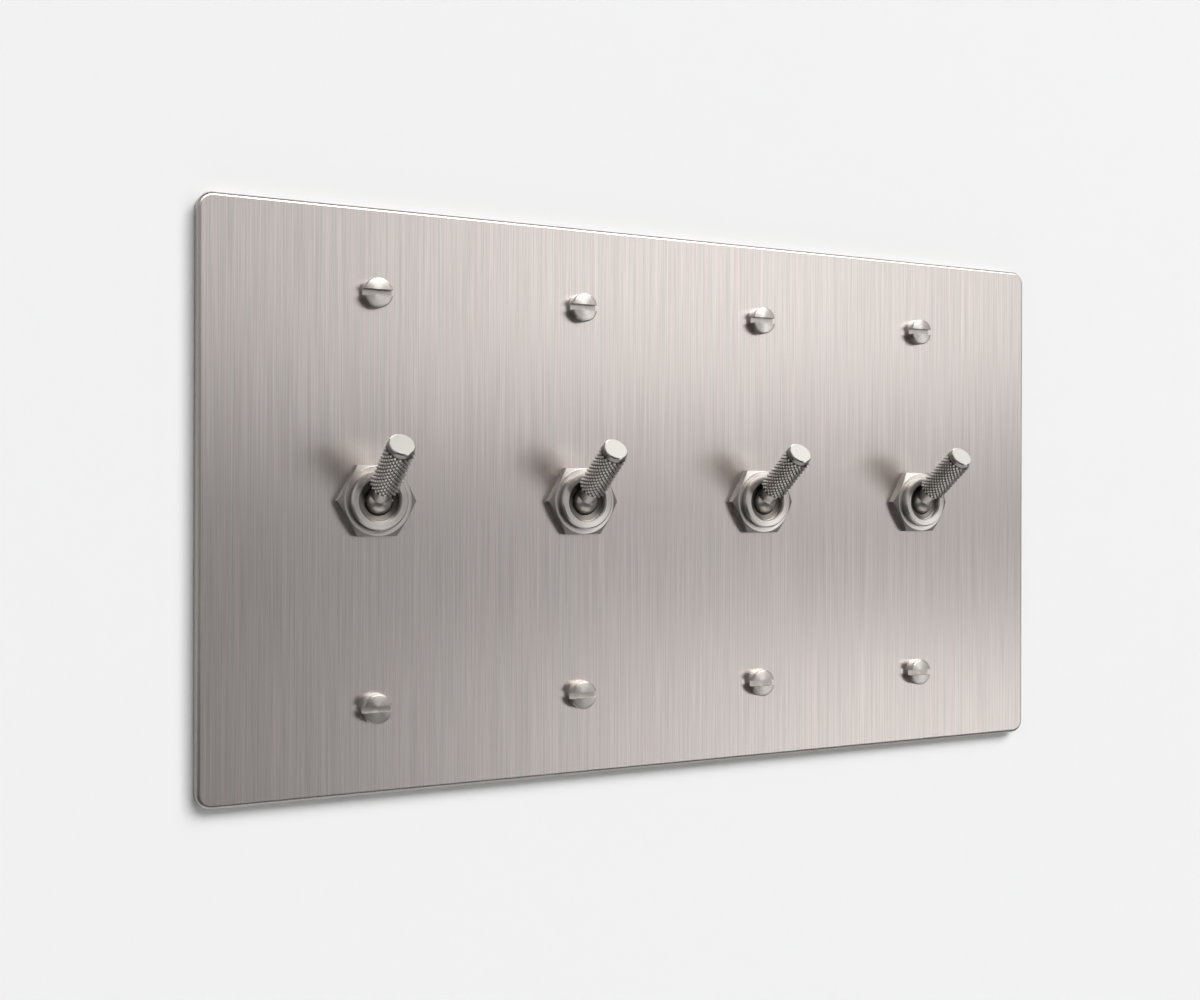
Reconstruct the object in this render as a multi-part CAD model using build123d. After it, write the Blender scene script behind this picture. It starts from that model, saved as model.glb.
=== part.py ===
from build123d import *
import math
import os

# A four-gang wall plate of brushed stainless steel that carries four toggle switches.
# The middle of the plate's back is the origin. The back lies on the wall in the plane
# Y = 0, the front faces -Y and +Z is up. Millimetres throughout.

# Driving dimensions of the plate and of the wall box behind it
gang_count = 4
gang_pitch = 46.04
box_screw_spacing = 83.34
plate_width = 208.3
plate_height = 118.0
plate_thickness = 3.0
plate_corner = 3.0
plate_edge_round = 0.75
recess_rim = 6.0
recess_depth = 1.2
recess_corner = 3.0
bushing_hole_radius = 6.1
screw_hole_radius = 2.1

# Driving dimensions of the slotted cheese head screws
screw_head_radius = 3.05
screw_head_height = 2.2
screw_head_round = 0.35
screw_slot_width = 1.3
screw_slot_depth = 1.2
screw_thread_radius = 1.75
screw_neck_radius = 1.45
screw_neck_length = 2.3
screw_length = 19.0

# Driving dimensions of the bushing and what clamps it to the plate
nut_across_flats = 14.2
nut_thickness = 2.2
nut_chamfer_angle = 30.0
nut_face_inset = 0.15
bushing_radius = 5.9
bushing_proud = 1.5
bushing_edge = 0.3
mouth_radius = 4.25
mouth_depth = 1.1
seat_depth = 1.35
seat_land = 0.6
flange_radius = 8.4
flange_thickness = 0.8
washer_thickness = 0.4
washer_radius = 9.0
washer_tooth_count = 10
thread_clearance = 0.05

# Driving dimensions of the lever and its grip, measured along the lever from its pivot
lever_throw = 36.5
pivot_below_mouth = 1.8
ball_radius = 2.8
neck_radius = 2.05
neck_length = 4.9
grip_end = 17.0
lever_length = 18.2
grip_radius = 3.15
grip_valley_radius = 2.66
grip_chamfer = 0.45
collar_radius = 2.65
collar_edge = 0.25
spigot_radius = 1.5
spigot_end = 12.0
knurl_pitch = 1.1
knurl_count_round = 18
pin_radius = 0.4
pin_length = 10.6
running_clearance = 0.05
fixed_clearance = 0.02
swing_clearance = 0.2

# Driving dimensions of the lever's tail, with the spring plunger in it
tail_radius = 1.25
tail_length = 9.0
tail_bore_radius = 0.85
tail_bore_depth = 4.4
plunger_reach = 9.8
plunger_stem_radius = 0.8
plunger_stem_length = 1.6
spring_wire_radius = 0.14
spring_pitch = 0.56

# Driving dimensions of the switch behind the plate
frame_sheet = 1.0
frame_bend = 0.6
frame_leg_width = 13.0
frame_lip = 2.2
frame_slot_width = 4.2
frame_slot_clearance = 0.3
body_width = 17.5
body_height = 28.6
body_depth = 16.5
body_wall = 1.8
body_floor = 2.2
body_corner = 1.2

# Driving dimensions of the contacts
rocker_pivot_depth = 8.8
rocker_tilt = 10.0
rocker_gap = 0.15
rocker_sheet = 0.8
rocker_width = 5.0
rocker_overrun = 3.0
rib_radius = 0.6
button_radius = 1.1
button_offset = 5.0
button_height = 1.5
button_root = 0.6
terminal_sheet = 1.0
terminal_width = 6.4
terminal_spacing = 9.4
terminal_tab = 10.0
terminal_hole_radius = 1.6
terminal_hole_place = 4.2
saddle_height = 3.2
saddle_depth = 2.2
contact_gap = 0.15
shelf_inner = 3.8
terminal_screw_radius = 1.5
terminal_head_radius = 2.8
terminal_head_height = 1.7
terminal_screw_length = 6.0
terminal_slot_width = 0.9

# Heights above the wall that follow from the driving dimensions
front = plate_thickness
nut_face = front + nut_thickness
mouth = nut_face + bushing_proud
pivot_height = mouth - pivot_below_mouth
flange_back = recess_depth - washer_thickness - flange_thickness
frame_back = flange_back - frame_sheet
body_back = frame_back - body_depth
rocker_height = -rocker_pivot_depth
gang_places = [(number - (gang_count - 1) / 2) * gang_pitch for number in range(gang_count)]


def out_of_wall(x=0.0, z=0.0, height=0.0):
    """A plane that looks out of the wall: its own X is +X, its Y is +Z, its Z is -Y."""
    return Plane(origin=(x, -height, z), x_dir=(1, 0, 0), z_dir=(0, -1, 0))


def rod(radius, bottom, top):
    """A cylinder on the local Z axis between two heights."""
    return Pos(0, 0, bottom) * Cylinder(radius, top - bottom, align=(Align.CENTER, Align.CENTER, Align.MIN))


def block(width, height, bottom, top):
    """A block on the local Z axis between two heights."""
    return Pos(0, 0, bottom) * Box(width, height, top - bottom, align=(Align.CENTER, Align.CENTER, Align.MIN))


def turned(*outline):
    """A piece turned about the local Z axis from (radius, height) points."""
    return revolve(make_face(Plane.XZ * Polyline(*outline, close=True)), Axis.Z)


def make_face_plate():
    """One sheet with rounded front edges, a recessed back and twelve holes."""
    slab = extrude(RectangleRounded(plate_width, plate_height, plate_corner), plate_thickness)
    slab = fillet(slab.faces().sort_by(Axis.Z)[-1].edges(), plate_edge_round)
    pocket = RectangleRounded(plate_width - 2 * recess_rim, plate_height - 2 * recess_rim, recess_corner)
    slab -= extrude(pocket, recess_depth)
    for x in gang_places:
        slab -= Pos(x, 0) * rod(bushing_hole_radius, 0, plate_thickness)
        for side in (-1, 1):
            place = Pos(x, side * box_screw_spacing / 2)
            slab -= place * rod(screw_hole_radius, 0, plate_thickness)
    return slab


def make_mounting_screw():
    """A slotted cheese head screw: head on the plate's front, plain neck, thread behind it."""
    head = fillet(
        rod(screw_head_radius, front, front + screw_head_height).edges().sort_by(Axis.Z)[-1:],
        screw_head_round,
    )
    slot = block(3 * screw_head_radius, screw_slot_width, front + screw_head_height - screw_slot_depth, mouth)
    neck = rod(screw_neck_radius, front - screw_neck_length, front)
    thread = rod(screw_thread_radius, front - screw_length, front - screw_neck_length)
    thread = chamfer(thread.edges().sort_by(Axis.Z)[:1], screw_thread_radius / 4)
    return head - slot + neck + thread


def make_hex_nut():
    """A thin panel nut with two corners level and a chamfered front."""
    corner_radius = nut_across_flats / math.sqrt(3)
    prism = Pos(0, 0, front) * extrude(RegularPolygon(corner_radius, 6), nut_thickness)
    face_radius = nut_across_flats / 2 - nut_face_inset
    skirt = (corner_radius - face_radius) * math.tan(math.radians(nut_chamfer_angle))
    cone = turned(
        (0, front),
        (corner_radius, front),
        (corner_radius, nut_face - skirt),
        (face_radius, nut_face),
        (0, nut_face),
    )
    return (prism & cone) - rod(bushing_radius + thread_clearance, front, nut_face)


def make_lock_washer():
    """A washer with teeth that point inwards."""
    bottom = recess_depth - washer_thickness
    tooth_root = (washer_radius + bushing_hole_radius) / 2
    ring = rod(washer_radius, bottom, recess_depth) - rod(bushing_hole_radius, bottom, recess_depth)
    gap_width = math.pi * tooth_root / washer_tooth_count
    notch = extrude(Rectangle(tooth_root, gap_width, align=(Align.MIN, Align.CENTER)), recess_depth)
    for place in PolarLocations(0, washer_tooth_count):
        ring -= place * notch
    return ring


def make_bushing():
    """A turned bushing: open mouth, seat for the lever's ball, and a cone for its tail."""
    seat_radius = ball_radius + swing_clearance
    seat_top = mouth - seat_depth
    seat_bottom = pivot_height - seat_land / 2
    swing = math.tan(math.radians(lever_throw))
    tail_reach = tail_radius / math.cos(math.radians(lever_throw))
    cone_radius = (pivot_height - flange_back) * swing + tail_reach + swing_clearance
    shell = turned(
        (bushing_radius - bushing_edge, mouth),
        (bushing_radius, mouth - bushing_edge),
        (bushing_radius, flange_back + flange_thickness),
        (flange_radius, flange_back + flange_thickness),
        (flange_radius, flange_back),
        (cone_radius, flange_back),
        (seat_radius, seat_bottom),
        (seat_radius, seat_top),
        (mouth_radius, mouth - mouth_depth),
        (mouth_radius, mouth - bushing_edge),
        (mouth_radius + bushing_edge, mouth),
    )
    cross_hole = Cylinder(pin_radius + fixed_clearance, 3 * bushing_radius, rotation=(0, 90, 0))
    return shell - Pos(0, 0, pivot_height) * cross_hole


def make_pivot_pin():
    """The cross pin, on the local X axis at the pivot."""
    return Pos(0, 0, pivot_height) * Cylinder(pin_radius, pin_length, rotation=(0, 90, 0))


def make_lever():
    """Ball, neck and tail in one turned piece, along the local Z axis with its pivot at 0."""
    ball = Sphere(ball_radius)
    neck = rod(neck_radius, 0, neck_length)
    spigot = rod(spigot_radius, neck_length, spigot_end)
    tail = rod(tail_radius, -tail_length, 0)
    lever = ball + neck + spigot + tail
    lever -= rod(tail_bore_radius, -tail_length, tail_bore_depth - tail_length)
    return lever - Cylinder(pin_radius + running_clearance, 3 * ball_radius, rotation=(0, 90, 0))


def make_knurl():
    """A diamond knurl: rows of four-sided points, half a pitch apart, over crossing grooves."""
    last_row = 2 * round((grip_end - neck_length) / knurl_pitch)
    row_height = (grip_end - neck_length) / last_row
    faces = []

    def corner(radius, row, column):
        angle = 2 * math.pi * column / knurl_count_round
        return Vector(radius * math.cos(angle), radius * math.sin(angle), neck_length + row * row_height)

    for row in range(last_row + 1):
        for column in range(knurl_count_round):
            start = column + row % 2 / 2
            left = corner(grip_valley_radius, row, start)
            right = corner(grip_valley_radius, row, start + 1)
            below = corner(grip_valley_radius, row - 1, start + 0.5)
            above = corner(grip_valley_radius, row + 1, start + 0.5)
            tip = corner(grip_radius, row, start + 0.5)
            if row == 0:
                triangles = [(left, right, above)]
            elif row == last_row:
                triangles = [(right, left, below)]
            else:
                triangles = [(left, below, tip), (below, right, tip), (right, above, tip), (above, left, tip)]
            faces += [Face(Wire.make_polygon(triangle)) for triangle in triangles]
    for row in (0, last_row):
        ring = [corner(grip_valley_radius, row, column) for column in range(knurl_count_round)]
        faces.append(Face(Wire.make_polygon(ring)))
    return Solid(Shell(faces))


def make_grip():
    """The knurled grip with its smooth collar, bored to sit on the lever's spigot."""
    envelope = turned(
        (0, neck_length),
        (grip_radius - grip_chamfer, neck_length),
        (grip_radius, neck_length + grip_chamfer),
        (grip_radius, grip_end - grip_chamfer),
        (grip_radius - grip_chamfer, grip_end),
        (0, grip_end),
    )
    collar = turned(
        (0, grip_end - grip_chamfer),
        (collar_radius, grip_end - grip_chamfer),
        (collar_radius, lever_length - collar_edge),
        (collar_radius - collar_edge, lever_length),
        (0, lever_length),
    )
    grip = (make_knurl() & envelope) + collar
    return grip - rod(spigot_radius + fixed_clearance, neck_length, spigot_end)


def make_plunger():
    """A domed plunger whose stem slides in the tail's bore."""
    half_ball = Sphere(tail_radius, arc_size1=-90, arc_size2=0, align=(Align.CENTER, Align.CENTER, Align.MAX))
    dome = Pos(0, 0, -plunger_reach) * half_ball
    head = rod(tail_radius, -plunger_reach, -tail_length)
    stem = rod(plunger_stem_radius, -tail_length, plunger_stem_length - tail_length)
    return dome + head + stem


def make_plunger_spring():
    """The coil spring between the plunger's stem and the end of the bore."""
    low = plunger_stem_length - tail_length + spring_wire_radius
    high = tail_bore_depth - tail_length - spring_wire_radius
    coil_radius = tail_bore_radius - 2 * spring_wire_radius
    coil = Helix(spring_pitch, high - low, coil_radius)
    wire = Plane(origin=coil @ 0, z_dir=coil % 0) * Circle(spring_wire_radius)
    return Pos(0, 0, low) * sweep(wire, coil)


def make_frame():
    """A folded steel strap: front plate, two legs, and lips crimped under the body."""
    half = body_width / 2
    back = body_back
    outer = make_face(
        Plane.XZ
        * Polyline(
            (-half - frame_sheet, flange_back),
            (half + frame_sheet, flange_back),
            (half + frame_sheet, back - frame_sheet),
            (half - frame_lip, back - frame_sheet),
            (half - frame_lip, back),
            (half, back),
            (half, frame_back),
            (-half, frame_back),
            (-half, back),
            (frame_lip - half, back),
            (frame_lip - half, back - frame_sheet),
            (-half - frame_sheet, back - frame_sheet),
            close=True,
        )
    )
    strap = extrude(outer, body_height / 2, both=True)
    along = strap.edges().filter_by(Axis.Y).group_by(Axis.X)
    strap = fillet(along[0] + along[-1], frame_bend)
    for side in (-1, 1):
        waste = Pos(0, side * (frame_leg_width + body_height) / 2) * block(
            2 * body_width, body_height, back - 2 * frame_sheet, frame_back - frame_sheet
        )
        strap -= waste
    swing = (pivot_height - frame_back) * math.tan(math.radians(lever_throw))
    slot_height = 2 * (swing + tail_radius / math.cos(math.radians(lever_throw)) + frame_slot_clearance)
    opening = SlotOverall(slot_height, frame_slot_width, rotation=90)
    return strap - Pos(0, 0, frame_back) * extrude(opening, frame_sheet)


def make_body():
    """The moulded housing: a cup that the frame closes, with slots for three terminals."""
    cup = Pos(0, 0, body_back) * extrude(RectangleRounded(body_width, body_height, body_corner), body_depth)
    inside = Rectangle(body_width - 2 * body_wall, body_height - 2 * body_wall)
    cup -= Pos(0, 0, body_back + body_floor) * extrude(inside, body_depth)
    for step in (-1, 0, 1):
        cup -= Pos(0, step * terminal_spacing) * block(
            terminal_width, terminal_sheet, body_back, body_back + body_floor
        )
    return cup


def seen_from_rocker(angle):
    """Where the plunger's dome stands, seen from the rocker, with the lever at this angle."""
    turn = math.radians(angle)
    tilt = math.radians(rocker_tilt * angle / lever_throw)
    across = -plunger_reach * math.sin(turn)
    height = pivot_height - plunger_reach * math.cos(turn) - rocker_height
    return (
        across * math.cos(tilt) + height * math.sin(tilt),
        height * math.cos(tilt) - across * math.sin(tilt),
    )


def make_rocker():
    """A cradle that the plunger rides in, on a rib, with a contact button under each arm."""
    middle = seen_from_rocker(0)
    end = seen_from_rocker(lever_throw)
    rise = end[1] - middle[1]
    path_radius = (end[0] ** 2 + rise**2) / (2 * rise)
    centre = middle[1] + path_radius
    inner = path_radius + tail_radius + rocker_gap
    outer = inner + rocker_sheet
    spread = math.degrees(math.asin(abs(end[0]) / path_radius)) + rocker_overrun
    cradle_line = CenterArc((0, centre), (inner + outer) / 2, -90 - spread, 2 * spread)
    section = Plane.YZ * trace(cradle_line, rocker_sheet)
    web_height = centre - outer + rocker_sheet / 2
    section += Plane.YZ * (Pos(0, web_height / 2) * Rectangle(rocker_sheet, web_height))
    section += Plane.YZ * Circle(rib_radius)
    cradle = extrude(section, rocker_width / 2, both=True)
    button_top = centre - math.sqrt(outer**2 - button_offset**2)
    under_cradle = Pos(0, 0, centre) * Cylinder(outer, 2 * rocker_width, rotation=(0, 90, 0))
    for side in (-1, 1):
        button = rod(button_radius, button_top - button_height, button_top + button_root)
        cradle += Pos(0, side * button_offset) * button - under_cradle
    return cradle, button_top - button_height


def make_terminals(button_end):
    """The common terminal with its saddle, and the two that the rocker's arms touch."""
    tab_end = body_back - terminal_tab
    hole = Pos(0, 0, tab_end + terminal_hole_place) * Cylinder(
        terminal_hole_radius, 3 * terminal_sheet, rotation=(90, 0, 0)
    )
    common = block(terminal_width, terminal_sheet, tab_end, rocker_height - saddle_depth)
    common += block(terminal_width, saddle_height, rocker_height - saddle_depth, rocker_height)
    saddle = Cylinder(rib_radius + running_clearance, 2 * terminal_width, rotation=(0, 90, 0))
    common -= Pos(0, 0, rocker_height) * saddle
    strips = [common - hole]
    tilt = math.radians(rocker_tilt)
    pressed = rocker_height + button_end * math.cos(tilt) - (button_offset + button_radius) * math.sin(tilt)
    shelf_top = pressed - contact_gap
    shelf_outer = terminal_spacing + terminal_sheet / 2
    for side in (-1, 1):
        place = Pos(0, side * terminal_spacing)
        strip = place * (block(terminal_width, terminal_sheet, tab_end, shelf_top) - hole)
        shelf = block(terminal_width, shelf_outer - shelf_inner, shelf_top - terminal_sheet, shelf_top)
        strips.append(strip + Pos(0, side * (shelf_outer + shelf_inner) / 2) * shelf)
    return strips


def make_terminal_screws():
    """A slotted binding screw through the tab of each terminal."""
    head = Pos(0, 0, terminal_sheet / 2) * rod(terminal_head_radius, 0, terminal_head_height)
    head -= Pos(0, 0, terminal_sheet / 2) * block(
        terminal_slot_width, 3 * terminal_head_radius, terminal_head_height / 2, terminal_head_height
    )
    shank = rod(terminal_screw_radius, terminal_sheet / 2 - terminal_screw_length, terminal_sheet / 2)
    screw = Rot(X=-90) * (head + shank)
    height = body_back - terminal_tab + terminal_hole_place
    return [Pos(0, step * terminal_spacing, height) * screw for step in (-1, 0, 1)]


def save(name, *solids):
    """Write one node's solids to its own file."""
    piece = solids[0] if len(solids) == 1 else Compound(children=list(solids))
    export_step(piece, f"parts/{name}.step")


os.makedirs("parts", exist_ok=True)

save("face_plate", out_of_wall() * make_face_plate())
screw = make_mounting_screw()
screw_places = [(x, side * box_screw_spacing / 2) for x in gang_places for side in (-1, 1)]
save("mounting_screws", *[out_of_wall(x, z) * screw for x, z in screw_places])
washer = make_lock_washer()
save("lock_washers", *[out_of_wall(x) * washer for x in gang_places])

fixed_pieces = {
    "hex_nut": [make_hex_nut()],
    "bushing": [make_bushing()],
    "pivot_pin": [make_pivot_pin()],
    "switch_frame": [make_frame()],
    "switch_body": [make_body()],
    "terminal_screws": make_terminal_screws(),
}
rocker, button_end = make_rocker()
fixed_pieces["terminals"] = make_terminals(button_end)
fixed_pieces["rocker_contact"] = [Pos(0, 0, rocker_height) * Rot(X=rocker_tilt) * rocker]
lever_pieces = {
    "toggle_lever": make_lever(),
    "knurled_grip": make_grip(),
    "plunger": make_plunger(),
    "plunger_spring": make_plunger_spring(),
}
lever_up = Pos(0, 0, pivot_height) * Rot(X=-lever_throw)

for number, x in enumerate(gang_places, start=1):
    for name, solids in fixed_pieces.items():
        save(f"{name}_{number}", *[out_of_wall(x) * solid for solid in solids])
    for name, solid in lever_pieces.items():
        save(f"{name}_{number}", out_of_wall(x) * lever_up * solid)
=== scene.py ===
import math

import bmesh
import bpy
from mathutils import Matrix, Vector


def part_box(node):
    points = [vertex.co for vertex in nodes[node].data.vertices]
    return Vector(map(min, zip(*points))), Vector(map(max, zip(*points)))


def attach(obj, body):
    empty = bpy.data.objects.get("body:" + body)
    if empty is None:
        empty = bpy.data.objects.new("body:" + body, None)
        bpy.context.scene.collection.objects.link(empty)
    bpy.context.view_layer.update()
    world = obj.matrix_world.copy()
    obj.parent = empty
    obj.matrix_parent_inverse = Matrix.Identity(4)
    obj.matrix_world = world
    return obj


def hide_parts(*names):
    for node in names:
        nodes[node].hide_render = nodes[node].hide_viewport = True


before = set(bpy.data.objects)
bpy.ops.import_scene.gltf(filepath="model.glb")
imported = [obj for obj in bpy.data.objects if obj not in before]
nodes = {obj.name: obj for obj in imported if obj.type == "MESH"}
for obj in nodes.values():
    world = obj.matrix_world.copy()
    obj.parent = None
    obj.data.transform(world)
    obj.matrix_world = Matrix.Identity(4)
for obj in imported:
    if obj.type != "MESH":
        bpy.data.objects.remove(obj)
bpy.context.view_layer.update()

# The camera stands to the left of the plate, level with its middle, and looks past it
# to the right. Its place was fitted to the plate's corners, its nuts and its screws.
camera_turn = math.radians(27.166)
camera_roll = math.radians(0.143)
focal_pixels = 1400.0
image_width = 1200.0
face_centre = Vector((0, -0.003, 0))
face_right_of_axis = 0.016218
face_distance = 0.312989
camera_height = 0.00028

level_right = Vector((math.cos(camera_turn), -math.sin(camera_turn), 0))
forward = Vector((math.sin(camera_turn), math.cos(camera_turn), 0))
right = math.cos(camera_roll) * level_right + math.sin(camera_roll) * Vector((0, 0, 1))
up = right.cross(forward)
eye = face_centre - face_right_of_axis * level_right - face_distance * forward
eye.z = camera_height

camera_data = bpy.data.cameras.new("camera")
camera_data.sensor_width = 36.0
camera_data.lens = focal_pixels * camera_data.sensor_width / image_width
camera_data.clip_start = 0.01
camera_data.clip_end = 20.0
camera = bpy.data.objects.new("camera", camera_data)
bpy.context.scene.collection.objects.link(camera)
camera_axes = Matrix((right, up, -forward)).transposed()
camera.matrix_world = Matrix.Translation(eye) @ camera_axes.to_4x4()
bpy.context.scene.camera = camera
bpy.context.scene.view_settings.view_transform = "Standard"


# The wall that the plate is screwed to, and a floor far below it: plain matt paint.
# Their front sides take the plate's shadow. The wall has an opening behind the plate, and
# from behind it is clear, so that the switches and the plate's back can be seen.
def colour(hex_code):
    """Linear RGBA from an sRGB hex value."""
    parts = [int(hex_code[i : i + 2], 16) / 255 for i in (1, 3, 5)]
    return [p / 12.92 if p <= 0.04045 else ((p + 0.055) / 1.055) ** 2.4 for p in parts] + [1.0]


def new_material(name):
    """An empty material, its node tree and its output node."""
    material = bpy.data.materials.new(name)
    material.use_nodes = True
    material.node_tree.nodes.clear()
    return material, material.node_tree, material.node_tree.nodes.new("ShaderNodeOutputMaterial")


def add_node(tree, kind, inputs, **settings):
    """One node with its settings; each input is a value or the socket that feeds it."""
    node = tree.nodes.new(kind)
    for name, value in settings.items():
        setattr(node, name, value)
    for name, value in inputs.items():
        if isinstance(value, bpy.types.NodeSocket):
            tree.links.new(value, node.inputs[name])
        else:
            node.inputs[name].default_value = value
    return node


quarter_turn = math.radians(90)
wall_paint = colour("#f4f4f4")
wall_glow = 0.02
wall_size = 3.0
wall_behind_plate = 0.0001
hidden_margin = 0.001
floor_depth = 2.2

paint, tree, output = new_material("matt_wall_paint")
diffuse = add_node(tree, "ShaderNodeBsdfDiffuse", {"Color": wall_paint})
glow = add_node(tree, "ShaderNodeEmission", {"Color": wall_paint, "Strength": wall_glow})
lit = add_node(tree, "ShaderNodeAddShader", {0: diffuse.outputs[0], 1: glow.outputs[0]})
clear = add_node(tree, "ShaderNodeBsdfTransparent", {})
geometry = add_node(tree, "ShaderNodeNewGeometry", {})
sided = add_node(
    tree,
    "ShaderNodeMixShader",
    {0: geometry.outputs["Backfacing"], 1: lit.outputs[0], 2: clear.outputs[0]},
)
tree.links.new(sided.outputs[0], output.inputs["Surface"])

for name, place, opening in (
    (
        "wall",
        Matrix.Translation((0, wall_behind_plate, 0)) @ Matrix.Rotation(quarter_turn, 4, "X"),
        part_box("face_plate")[1] - Vector((hidden_margin, 0, hidden_margin)),
    ),
    ("floor", Matrix.Translation((0, 0, -floor_depth)), None),
):
    mesh = bpy.data.meshes.new(name)
    sheet = bmesh.new()
    bmesh.ops.create_grid(sheet, x_segments=1, y_segments=1, size=wall_size / 2, matrix=place)
    if opening:
        for cut, across in ((opening.x, Vector((1, 0, 0))), (opening.z, Vector((0, 0, 1)))):
            for side in (-1, 1):
                bmesh.ops.bisect_plane(
                    sheet,
                    geom=sheet.verts[:] + sheet.edges[:] + sheet.faces[:],
                    plane_co=side * cut * across,
                    plane_no=across,
                )
        covered = []
        for face in sheet.faces:
            if face.calc_center_median().xz.length < hidden_margin:
                covered.append(face)
        bmesh.ops.delete(sheet, geom=covered, context="FACES")
    sheet.to_mesh(mesh)
    sheet.free()
    mesh.materials.append(paint)
    backdrop = bpy.data.objects.new(name, mesh)
    bpy.context.scene.collection.objects.link(backdrop)


# The light: a large soft key high on the right, and lower panels that the brushed face
# shows as a bright top, a bright lower right corner and a darker middle and left. The
# studio in front is dim, and all round it the camera and the metal see a pale background.
room_level = 0.06
side_blend = 0.1
world = bpy.data.worlds.new("room")
bpy.context.scene.world = world
world.use_nodes = True
tree = world.node_tree
tree.nodes.clear()
path = add_node(tree, "ShaderNodeLightPath", {})
sight = add_node(tree, "ShaderNodeTexCoord", {})
compass = add_node(tree, "ShaderNodeSeparateXYZ", {0: sight.outputs["Generated"]})
behind = add_node(
    tree,
    "ShaderNodeMapRange",
    {"Value": compass.outputs["Y"], "From Min": -side_blend, "From Max": side_blend},
)
mirrored = add_node(
    tree,
    "ShaderNodeMath",
    {0: path.outputs["Is Glossy Ray"], 1: path.outputs["Is Transmission Ray"]},
    operation="MAXIMUM",
)
in_metal = add_node(
    tree,
    "ShaderNodeMath",
    {0: mirrored.outputs[0], 1: behind.outputs[0]},
    operation="MULTIPLY",
)
background = add_node(
    tree,
    "ShaderNodeMath",
    {0: path.outputs["Is Camera Ray"], 1: in_metal.outputs[0]},
    operation="MAXIMUM",
)
seen = add_node(tree, "ShaderNodeBackground", {"Color": wall_paint, "Strength": 1.0})
room = add_node(tree, "ShaderNodeBackground", {"Color": wall_paint, "Strength": room_level})
chosen = add_node(
    tree,
    "ShaderNodeMixShader",
    {0: background.outputs[0], 1: room.outputs[0], 2: seen.outputs[0]},
)
add_node(tree, "ShaderNodeOutputWorld", {"Surface": chosen.outputs[0]})

# Each lamp is given by its edges as seen from the plate, in degrees to the right of
# straight ahead and above the level, and by its brightness.
lamp_distance = 12.0
for name, left, far_right, bottom, top, brightness in (
    ("strip_box", 17, 49, 3.5, 17.5, 1.88),
    ("side_panel", 26, 48, -5, 5, 0.85),
    ("low_corner_box", 31, 50, -18, -5, 2.8),
    ("key_box", 0, 42, 26, 52, 9.1),
    ("high_panel", 50, 82, 40, 72, 0.6),
    ("left_fill", -85, -35, -10, 40, 0.6),
    ("back_soft_box", 170, 230, 10, 60, 1.00),
):
    turn, rise = math.radians((left + far_right) / 2), math.radians((bottom + top) / 2)
    level = math.cos(rise)
    direction = Vector((math.sin(turn) * level, -math.cos(turn) * level, math.sin(rise)))
    lamp_data = bpy.data.lights.new(name, "AREA")
    lamp_data.shape = "RECTANGLE"
    lamp_data.size = 2 * lamp_distance * math.tan(math.radians((far_right - left) / 2))
    lamp_data.size_y = 2 * lamp_distance * math.tan(math.radians((top - bottom) / 2))
    lamp_data.energy = brightness * math.pi * lamp_data.size * lamp_data.size_y
    lamp = bpy.data.objects.new(name, lamp_data)
    bpy.context.scene.collection.objects.link(lamp)
    lamp.location = lamp_distance * direction
    lamp.rotation_euler = direction.to_track_quat("Z", "Y").to_euler()


# The face plate: one sheet of stainless steel, brushed up and down with a belt, so that
# it spreads light sideways. The grain shows as fine long streaks, some a little warmer. The
# belt's own lines are about 0.1 mm wide, too fine to show, and are drawn at 0.26 mm.
def dress(names, material):
    """Gives these CAD nodes one material."""
    for name in names:
        nodes[name].data.materials.clear()
        nodes[name].data.materials.append(material)


grain_width = 0.00026
grain_length = 0.032
band_width = 0.0008
band_length = 0.30
plate_corner = 0.003
rectangle_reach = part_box("face_plate")[1] - Vector((plate_corner, 0, plate_corner))
edge_shade_width = 0.0006

brushed, tree, output = new_material("brushed_stainless_steel")
coordinates = add_node(tree, "ShaderNodeTexCoord", {})
grain_space = add_node(
    tree,
    "ShaderNodeMapping",
    {
        "Vector": coordinates.outputs["Object"],
        "Scale": (1 / grain_width, 1 / grain_length, 1 / grain_length),
    },
)
grain = add_node(
    tree,
    "ShaderNodeTexNoise",
    {"Vector": grain_space.outputs[0], "Scale": 1.0, "Detail": 3.0, "Roughness": 0.6},
)
band_space = add_node(
    tree,
    "ShaderNodeMapping",
    {
        "Vector": coordinates.outputs["Object"],
        "Scale": (1 / band_width, 1 / band_length, 1 / band_length),
    },
)
bands = add_node(
    tree,
    "ShaderNodeTexNoise",
    {"Vector": band_space.outputs[0], "Scale": 1.0, "Detail": 2.0, "Roughness": 0.5},
)
# The belt leaves warmer and cooler streaks side by side
tint = add_node(
    tree,
    "ShaderNodeMapRange",
    {"Value": bands.outputs["Fac"], "From Min": 0.3, "From Max": 0.7},
)
warm_cool = add_node(
    tree,
    "ShaderNodeMix",
    {"Factor": tint.outputs[0], "A": colour("#e5d9d6"), "B": colour("#ddd8d3")},
    data_type="RGBA",
)
# The finest scratches are a little darker than the ground between them
shade = add_node(
    tree,
    "ShaderNodeMapRange",
    {
        "Value": grain.outputs["Fac"],
        "From Min": 0.3,
        "From Max": 0.7,
        "To Min": 0.83,
        "To Max": 1.1,
    },
)
streaked = add_node(
    tree,
    "ShaderNodeMix",
    {"Factor": 1.0, "A": warm_cool.outputs["Result"], "B": shade.outputs[0]},
    data_type="RGBA",
    blend_type="MULTIPLY",
)
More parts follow.
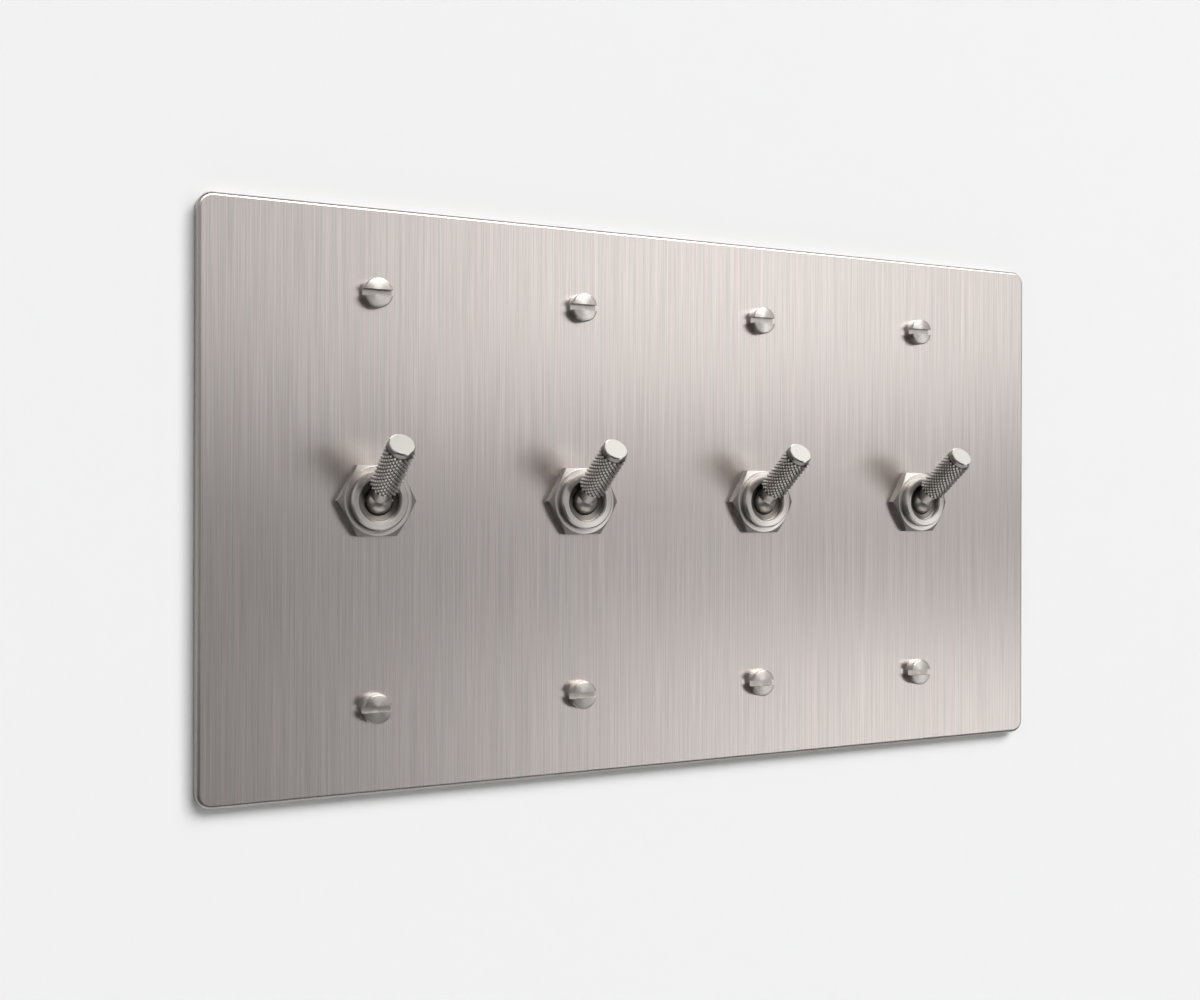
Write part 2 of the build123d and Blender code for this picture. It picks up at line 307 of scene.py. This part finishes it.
# The rounded edges are painted darker, a painted shade for the dark room that their rounds
# reflect. They are found by how far out a point lies from the rectangle that joins the middles of
# the plate's four corner rounds.
one_quarter = add_node(
    tree,
    "ShaderNodeVectorMath",
    {0: coordinates.outputs["Object"]},
    operation="ABSOLUTE",
)
past_rectangle = add_node(
    tree,
    "ShaderNodeVectorMath",
    {0: one_quarter.outputs[0], 1: rectangle_reach},
    operation="SUBTRACT",
)
past_corner = add_node(
    tree,
    "ShaderNodeVectorMath",
    {0: past_rectangle.outputs[0], 1: (0, 0, 0)},
    operation="MAXIMUM",
)
in_plane = add_node(
    tree,
    "ShaderNodeVectorMath",
    {0: past_corner.outputs[0], 1: (1, 0, 1)},
    operation="MULTIPLY",
)
outwards = add_node(tree, "ShaderNodeVectorMath", {0: in_plane.outputs[0]}, operation="LENGTH")
painted_edge_shade = add_node(
    tree,
    "ShaderNodeMapRange",
    {
        "Value": outwards.outputs["Value"],
        "From Min": plate_corner - edge_shade_width,
        "From Max": plate_corner - edge_shade_width / 2,
    },
)
# The edge colour #a8a39e is painted shade on the plate's rounded edges
streaked_with_edge_shade = add_node(
    tree,
    "ShaderNodeMix",
    {"Factor": painted_edge_shade.outputs[0], "A": streaked.outputs["Result"], "B": colour("#a8a39e")},
    data_type="RGBA",
)
relief = add_node(
    tree,
    "ShaderNodeBump",
    {"Height": grain.outputs["Fac"], "Strength": 0.2, "Distance": 0.00002},
)
across_grain = add_node(tree, "ShaderNodeCombineXYZ", {"X": 1.0, "Y": 0.013, "Z": 0.007})
steel = add_node(
    tree,
    "ShaderNodeBsdfPrincipled",
    {
        "Base Color": streaked_with_edge_shade.outputs["Result"],
        "Metallic": 1.0,
        "Roughness": 0.34,
        "Anisotropic": 0.81,
        "Tangent": across_grain.outputs[0],
        "Normal": relief.outputs[0],
    },
)
tree.links.new(steel.outputs[0], output.inputs["Surface"])
dress(["face_plate"], brushed)


# The nuts and bushings: stainless steel faced in a lathe, the nut screwed down on its bushing.
# The tool leaves rings round the axis, which spread light outwards, drawn here 0.3 mm apart.
gang_pitch = 0.04604
one_row = 0.3
row_shift = (gang_pitch / 2, 0.0, 0.0)
ring_width = 0.0003
bore_radius = 0.00425
nut_face_radius = 0.0069
edge_blend = 0.03
tangent_depth = 0.3
gangs = range(1, 5)
row_middle = 2.5


def from_axis(tree, shift, row_height):
    """Where a point lies from the middle of its fitting; they repeat at each gang and row."""
    place = add_node(tree, "ShaderNodeTexCoord", {}).outputs["Object"]
    moved = add_node(tree, "ShaderNodeVectorMath", {0: place, 1: shift}, operation="ADD")
    reach = (gang_pitch / 2, 1.0, row_height / 2)
    wrapped = add_node(
        tree,
        "ShaderNodeVectorMath",
        {0: moved.outputs[0], 1: reach, 2: [-size for size in reach]},
        operation="WRAP",
    )
    return wrapped.outputs[0]


def faced_steel(name, shift, row_height, hex_code, bore_edge, face_edge):
    """Steel faced in a lathe about each fitting's axis, with painted shade in its bore and past
    its rim.
    """
    material, tree, output = new_material(name)
    spoke = add_node(
        tree,
        "ShaderNodeVectorMath",
        {0: from_axis(tree, shift, row_height), 1: (1.0, 0.0, 1.0)},
        operation="MULTIPLY",
    )
    radius = add_node(tree, "ShaderNodeVectorMath", {0: spoke.outputs[0]}, operation="LENGTH")
    outwards = add_node(
        tree,
        "ShaderNodeVectorMath",
        {0: spoke.outputs[0]},
        operation="NORMALIZE",
    )
    # The part along the axis keeps the tangent apart from the normal on the outer sides
    tangent = add_node(
        tree,
        "ShaderNodeVectorMath",
        {0: outwards.outputs[0], 1: (0.0, tangent_depth, 0.0)},
        operation="ADD",
    )
    # The tool's rings, as slow changes of tone and as a fine relief
    turns = add_node(
        tree,
        "ShaderNodeMath",
        {0: radius.outputs["Value"], 1: ring_width},
        operation="DIVIDE",
    )
    rings = add_node(
        tree,
        "ShaderNodeTexNoise",
        {"W": turns.outputs[0], "Scale": 1.0, "Detail": 2.0},
        noise_dimensions="1D",
    )
    tone = add_node(
        tree,
        "ShaderNodeMapRange",
        {
            "Value": rings.outputs[0],
            "From Min": 0.3,
            "From Max": 0.7,
            "To Min": 0.86,
            "To Max": 1.04,
        },
    )
    open_steel = add_node(
        tree,
        "ShaderNodeMix",
        {"Factor": 1.0, "A": colour(hex_code), "B": tone.outputs[0]},
        data_type="RGBA",
        blend_type="MULTIPLY",
    )
    # Inside the bore the steel is painted dark, a painted shade for the recess
    painted_bore_shade = add_node(
        tree,
        "ShaderNodeMapRange",
        {
            "Value": radius.outputs["Value"],
            "From Min": bore_edge,
            "From Max": (1 - edge_blend) * bore_edge,
        },
    )
    steel_with_bore_shade = add_node(
        tree,
        "ShaderNodeMix",
        {"Factor": painted_bore_shade.outputs[0], "A": open_steel.outputs["Result"], "B": colour("#625e59")},
        data_type="RGBA",
    )
    # Past the faced part the steel is rougher, and its colour #9d9893 is a painted shade on the
    # nut's chamfer and sides
    past_face = {
        "Value": radius.outputs["Value"],
        "From Min": face_edge,
        "From Max": (1 + edge_blend) * face_edge,
    }
    skin = add_node(tree, "ShaderNodeMapRange", past_face)
    # This mix lays the painted shade on the chamfer and sides
    faced = add_node(
        tree,
        "ShaderNodeMix",
        {"Factor": skin.outputs[0], "A": steel_with_bore_shade.outputs["Result"], "B": colour("#9d9893")},
        data_type="RGBA",
    )
    roughness = add_node(
        tree,
        "ShaderNodeMapRange",
        {**past_face, "To Min": 0.36, "To Max": 0.48},
    )
    relief = add_node(
        tree,
        "ShaderNodeBump",
        {"Height": rings.outputs[0], "Strength": 0.2, "Distance": 0.00002},
    )
    steel = add_node(
        tree,
        "ShaderNodeBsdfPrincipled",
        {
            "Base Color": faced.outputs["Result"],
            "Metallic": 1.0,
            "Roughness": roughness.outputs[0],
            "Anisotropic": 0.6,
            "Tangent": tangent.outputs[0],
            "Normal": relief.outputs[0],
        },
    )
    tree.links.new(steel.outputs[0], output.inputs["Surface"])
    return material


turned_radii = (bore_radius, nut_face_radius)
nut_steel = faced_steel("faced_nut_steel", row_shift, one_row, "#c9c3bf", *turned_radii)
dress([f"hex_nut_{gang}" for gang in gangs], nut_steel)
bushing_steel = faced_steel("faced_bushing_steel", row_shift, one_row, "#c4bfba", *turned_radii)
dress([f"bushing_{gang}" for gang in gangs], bushing_steel)


# The eight box screws: stainless steel, cheese heads turned with a rounded rim and a milled
# slot. A 6-32 thread is rolled on behind the plain neck and bites into the wall box.
box_screw_spacing = 0.08334
screw_shift = (gang_pitch / 2, 0.0, box_screw_spacing / 2)
no_bore = 1e-5
no_rim = 1.0
screw_steel = faced_steel(
    "faced_screw_steel", screw_shift, box_screw_spacing, "#bbb6b1", no_bore, no_rim
)

plate_front = 0.003
head_radius = 0.00305
head_height = 0.0022
head_round = 0.00035
head_sides = 48
slot_width = 0.0013
slot_depth = 0.0012
slot_floor = plate_front + head_height - slot_depth
neck_radius = 0.00145
neck_length = 0.0023
thread_start = plate_front - neck_length
thread_radius = 0.00175
thread_root = 0.00142
core_past_root = 1e-5
core_radius = thread_root + core_past_root
core_sides = 32
thread_pitch = 0.000794
thread_steps = 20
screw_length = 0.019
crease = math.radians(35)

screw = bmesh.new()
bmesh.ops.create_cone(
    screw,
    cap_ends=True,
    segments=head_sides,
    radius1=head_radius,
    radius2=head_radius,
    depth=head_height,
    matrix=Matrix.Translation((0, 0, plate_front + head_height / 2)),
)
near_top = max(vert.co.z for vert in screw.verts) - head_round
rim = [edge for edge in screw.edges if all(vert.co.z > near_top for vert in edge.verts)]
bmesh.ops.bevel(
    screw,
    geom=rim,
    offset=head_round,
    segments=4,
    profile=0.5,
    affect="EDGES",
    material=-1,
    clamp_overlap=True,
)

# The slot is cut right across the head: its sides and its floor are sliced in, what lies
# between them goes, and two walls and a floor close it again
for point, normal in (
    ((0, slot_width / 2, 0), (0, 1, 0)),
    ((0, -slot_width / 2, 0), (0, 1, 0)),
    ((0, 0, slot_floor), (0, 0, 1)),
):
    every_part = screw.verts[:] + screw.edges[:] + screw.faces[:]
    bmesh.ops.bisect_plane(screw, geom=every_part, plane_co=point, plane_no=normal)
milled = []
for face in screw.faces:
    middle = face.calc_center_median()
    if abs(middle.y) < slot_width / 2 and middle.z > slot_floor:
        milled.append(face)
bmesh.ops.delete(screw, geom=milled, context="FACES")
hair = 1e-7
high = [vert for vert in screw.verts if vert.co.z > slot_floor - hair]
for side in (-1, 1):
    slot_wall = [vert for vert in high if abs(vert.co.y - side * slot_width / 2) < hair]
    bmesh.ops.contextual_create(screw, geom=slot_wall)
low = [vert for vert in screw.verts if abs(vert.co.z - slot_floor) < hair]
ledge = [vert for vert in low if abs(vert.co.y) < slot_width / 2 + hair]
bmesh.ops.contextual_create(screw, geom=ledge)

# The plain neck, and the core of the thread with its chamfered tip
tip = plate_front - screw_length
tip_chamfer = 0.0005
for lower, upper, radius in (
    (thread_start, plate_front, neck_radius),
    (tip, thread_start, core_radius),
):
    bmesh.ops.create_cone(
        screw,
        cap_ends=True,
        segments=core_sides,
        radius1=radius,
        radius2=radius,
        depth=upper - lower,
        matrix=Matrix.Translation((0, 0, (lower + upper) / 2)),
    )
rim = [edge for edge in screw.edges if all(vert.co.z < tip + tip_chamfer for vert in edge.verts)]
bmesh.ops.bevel(
    screw,
    geom=rim,
    offset=tip_chamfer,
    segments=1,
    profile=0.5,
    affect="EDGES",
    material=-1,
)

# The thread: one V of its profile wound round the core, a pitch deeper with each turn
turns = int((thread_start - tip - tip_chamfer) / thread_pitch) - 1
ridge = []
for radius, step in ((thread_root, 0.0), (thread_radius, 0.5), (thread_root, 1.0)):
    ridge.append(screw.verts.new((radius, 0, tip + tip_chamfer + step * thread_pitch)))
flanks = [screw.edges.new(ridge[:2]), screw.edges.new(ridge[1:])]
wound = bmesh.ops.spin(
    screw,
    geom=ridge + flanks,
    axis=(0, 0, 1),
    dvec=(0, 0, thread_pitch / thread_steps),
    angle=2 * math.pi * turns,
    steps=turns * thread_steps,
)
last = [part for part in wound["geom_last"] if isinstance(part, bmesh.types.BMVert)]
for end in (ridge, last):
    bmesh.ops.contextual_create(screw, geom=end)
bmesh.ops.remove_doubles(screw, verts=screw.verts[:], dist=hair)
bmesh.ops.recalc_face_normals(screw, faces=screw.faces[:])
bmesh.ops.rotate(
    screw,
    verts=screw.verts[:],
    cent=(0, 0, 0),
    matrix=Matrix.Rotation(quarter_turn, 3, "X"),
)
for face in screw.faces:
    face.smooth = True
for edge in screw.edges:
    edge.smooth = len(edge.link_faces) != 2 or edge.calc_face_angle() < crease

one_screw = bpy.data.meshes.new("one_box_screw")
screw.to_mesh(one_screw)
screw.free()
all_screws = bmesh.new()
for gang in gangs:
    for side in (-1, 1):
        placed = len(all_screws.verts)
        all_screws.from_mesh(one_screw)
        all_screws.verts.ensure_lookup_table()
        place = Vector(((gang - row_middle) * gang_pitch, 0, side * box_screw_spacing / 2))
        bmesh.ops.translate(all_screws, verts=all_screws.verts[placed:], vec=place)
screw_mesh = bpy.data.meshes.new("box_screws")
all_screws.to_mesh(screw_mesh)
all_screws.free()
bpy.data.meshes.remove(one_screw)
screw_mesh.materials.append(screw_steel)
box_screws = bpy.data.objects.new("box_screws", screw_mesh)
bpy.context.scene.collection.objects.link(box_screws)
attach(box_screws, "plate_body")
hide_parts("mounting_screws")


# The levers: one piece of stainless steel each, ball, neck and tail turned and then
# polished. Fine rings round the lever's own axis break up its reflections.
lever_shift = (gang_pitch / 2, 0.0049, 0.0)
lever_lean = math.radians(36.5)
lever_axis = (0.0, -math.cos(lever_lean), math.sin(lever_lean))
polish_width = 0.00012

polished, tree, output = new_material("polished_turned_steel")
place = from_axis(tree, lever_shift, one_row)
along = add_node(tree, "ShaderNodeVectorMath", {0: place, 1: lever_axis}, operation="DOT_PRODUCT")
turns = add_node(
    tree,
    "ShaderNodeMath",
    {0: along.outputs["Value"], 1: polish_width},
    operation="DIVIDE",
)
rings = add_node(
    tree,
    "ShaderNodeTexNoise",
    {"W": turns.outputs[0], "Scale": 1.0, "Detail": 2.0},
    noise_dimensions="1D",
)
relief = add_node(
    tree,
    "ShaderNodeBump",
    {"Height": rings.outputs[0], "Strength": 0.12, "Distance": 0.00001},
)
steel = add_node(
    tree,
    "ShaderNodeBsdfPrincipled",
    {
        "Base Color": colour("#c6c0ba"),
        "Metallic": 1.0,
        "Roughness": 0.4,
        "Normal": relief.outputs[0],
    },
)
tree.links.new(steel.outputs[0], output.inputs["Surface"])
dress([f"toggle_lever_{gang}" for gang in gangs], polished)


# The knurled grips: stainless steel with a diamond knurl pressed in by two wheels. The points
# carry a painted highlight, the grooves between them a painted shade, and the collar is plain.
# Its end carries a painted highlight and its turned side a painted shade.
knurl_valley = 0.00266
knurl_highlight_radius = 0.00290
collar_start = 0.01698
collar_edge = 0.01805
collar_top = 0.01818
scuff_size = 0.0002

knurled, tree, output = new_material("knurled_stainless_steel")
place = from_axis(tree, lever_shift, one_row)
along = add_node(tree, "ShaderNodeVectorMath", {0: place, 1: lever_axis}, operation="DOT_PRODUCT")
across = add_node(
    tree,
    "ShaderNodeVectorMath",
    {0: place, 1: lever_axis},
    operation="CROSS_PRODUCT",
)
radius = add_node(tree, "ShaderNodeVectorMath", {0: across.outputs[0]}, operation="LENGTH")
painted_knurl_light_and_shade = add_node(
    tree,
    "ShaderNodeMapRange",
    {"Value": radius.outputs["Value"], "From Min": knurl_valley, "From Max": knurl_highlight_radius},
)
plain = add_node(
    tree,
    "ShaderNodeMath",
    {0: along.outputs["Value"], 1: collar_start},
    operation="GREATER_THAN",
)
painted_collar_light_and_shade = add_node(
    tree,
    "ShaderNodeMapRange",
    {
        "Value": along.outputs["Value"],
        "From Min": collar_edge,
        "From Max": collar_top,
        "To Min": 0.3,
        "To Max": 0.88,
    },
)
painted_light_share = add_node(
    tree,
    "ShaderNodeMix",
    {"Factor": plain.outputs[0], "A": painted_knurl_light_and_shade.outputs[0], "B": painted_collar_light_and_shade.outputs[0]},
    data_type="FLOAT",
)
# Painted shade #57534e and painted highlight #f2eee8 on the knurl and the collar
painted_light_and_shade_colour = add_node(
    tree,
    "ShaderNodeMix",
    {"Factor": painted_light_share.outputs["Result"], "A": colour("#57534e"), "B": colour("#f2eee8")},
    data_type="RGBA",
)
scuffs = add_node(
    tree,
    "ShaderNodeTexNoise",
    {"Vector": place, "Scale": 1 / scuff_size, "Detail": 2.0},
)
relief = add_node(
    tree,
    "ShaderNodeBump",
    {"Height": scuffs.outputs["Fac"], "Strength": 0.15, "Distance": 0.00001},
)
steel = add_node(
    tree,
    "ShaderNodeBsdfPrincipled",
    {
        "Base Color": painted_light_and_shade_colour.outputs["Result"],
        "Metallic": 1.0,
        "Roughness": 0.3,
        "Normal": relief.outputs[0],
    },
)
tree.links.new(steel.outputs[0], output.inputs["Surface"])
dress([f"knurled_grip_{gang}" for gang in gangs], knurled)


# The pivot pins and the small coil springs: drawn spring steel, a little blued, with fine
# marks from the drawing die.
die_mark_size = 0.00015
drawn, tree, output = new_material("drawn_spring_steel")
coordinates = add_node(tree, "ShaderNodeTexCoord", {})
die_marks = add_node(
    tree,
    "ShaderNodeTexNoise",
    {"Vector": coordinates.outputs["Object"], "Scale": 1 / die_mark_size, "Detail": 3.0},
)
blued = add_node(
    tree,
    "ShaderNodeMix",
    {"Factor": die_marks.outputs["Fac"], "A": colour("#5a5c60"), "B": colour("#7c7b78")},
    data_type="RGBA",
)
steel = add_node(
    tree,
    "ShaderNodeBsdfPrincipled",
    {"Base Color": blued.outputs["Result"], "Metallic": 1.0, "Roughness": 0.34},
)
tree.links.new(steel.outputs[0], output.inputs["Surface"])
dress([f"{part}_{gang}" for part in ("pivot_pin", "plunger_spring") for gang in gangs], drawn)


# The switch frames and the lock washers: mild steel sheet, zinc plated. The plating has
# soft cloudy patches of a bluer and a yellower grey.
cloud_size = 0.004
plated, tree, output = new_material("zinc_plated_steel")
coordinates = add_node(tree, "ShaderNodeTexCoord", {})
clouds = add_node(
    tree,
    "ShaderNodeTexNoise",
    {
        "Vector": coordinates.outputs["Object"],
        "Scale": 1 / cloud_size,
        "Detail": 4.0,
        "Roughness": 0.55,
    },
)
tint = add_node(
    tree,
    "ShaderNodeMapRange",
    {"Value": clouds.outputs["Fac"], "From Min": 0.35, "From Max": 0.65},
)
passivated = add_node(
    tree,
    "ShaderNodeMix",
    {"Factor": tint.outputs[0], "A": colour("#b3b9c2"), "B": colour("#c9c6b8")},
    data_type="RGBA",
)
dull = add_node(
    tree,
    "ShaderNodeMapRange",
    {
        "Value": clouds.outputs["Fac"],
        "From Min": 0.35,
        "From Max": 0.65,
        "To Min": 0.3,
        "To Max": 0.46,
    },
)
steel = add_node(
    tree,
    "ShaderNodeBsdfPrincipled",
    {"Base Color": passivated.outputs["Result"], "Metallic": 1.0, "Roughness": dull.outputs[0]},
)
tree.links.new(steel.outputs[0], output.inputs["Surface"])
dress(["lock_washers"] + [f"switch_frame_{gang}" for gang in gangs], plated)


# The switch bodies: black phenolic, moulded under heat. Its wood-flour filling shows as
# fine brown specks, and the mould leaves a slightly uneven satin skin.
speck_size = 0.00035
phenolic, tree, output = new_material("moulded_phenolic")
coordinates = add_node(tree, "ShaderNodeTexCoord", {})
specks = add_node(
    tree,
    "ShaderNodeTexNoise",
    {
        "Vector": coordinates.outputs["Object"],
        "Scale": 1 / speck_size,
        "Detail": 3.0,
        "Roughness": 0.7,
    },
)
filling = add_node(
    tree,
    "ShaderNodeMapRange",
    {"Value": specks.outputs["Fac"], "From Min": 0.5, "From Max": 0.75},
)
filled = add_node(
    tree,
    "ShaderNodeMix",
    {"Factor": filling.outputs[0], "A": colour("#1c1a19"), "B": colour("#3b2c22")},
    data_type="RGBA",
)
relief = add_node(
    tree,
    "ShaderNodeBump",
    {"Height": specks.outputs["Fac"], "Strength": 0.25, "Distance": 0.00004},
)
skin = add_node(
    tree,
    "ShaderNodeBsdfPrincipled",
    {"Base Color": filled.outputs["Result"], "Roughness": 0.42, "Normal": relief.outputs[0]},
)
tree.links.new(skin.outputs[0], output.inputs["Surface"])
dress([f"switch_body_{gang}" for gang in gangs], phenolic)


# The terminals, binding screws, rocker contacts and plungers: stamped and turned brass,
# satin, with rolling marks along the sheet and a slightly deeper colour where it tarnishes.
roll_width = 0.0003
roll_length = 0.006
brass, tree, output = new_material("satin_brass")
coordinates = add_node(tree, "ShaderNodeTexCoord", {})
roll_space = add_node(
    tree,
    "ShaderNodeMapping",
    {
        "Vector": coordinates.outputs["Object"],
        "Scale": (1 / roll_width, 1 / roll_length, 1 / roll_width),
    },
)
rolling = add_node(
    tree,
    "ShaderNodeTexNoise",
    {"Vector": roll_space.outputs[0], "Scale": 1.0, "Detail": 2.0},
)
tarnished = add_node(
    tree,
    "ShaderNodeMix",
    {"Factor": rolling.outputs["Fac"], "A": colour("#b08a45"), "B": colour("#dcbc78")},
    data_type="RGBA",
)
relief = add_node(
    tree,
    "ShaderNodeBump",
    {"Height": rolling.outputs["Fac"], "Strength": 0.15, "Distance": 0.00001},
)
alloy = add_node(
    tree,
    "ShaderNodeBsdfPrincipled",
    {
        "Base Color": tarnished.outputs["Result"],
        "Metallic": 1.0,
        "Roughness": 0.33,
        "Normal": relief.outputs[0],
    },
)
tree.links.new(alloy.outputs[0], output.inputs["Surface"])
brass_parts = ("terminals", "terminal_screws", "rocker_contact", "plunger")
dress([f"{part}_{gang}" for part in brass_parts for gang in gangs], brass)
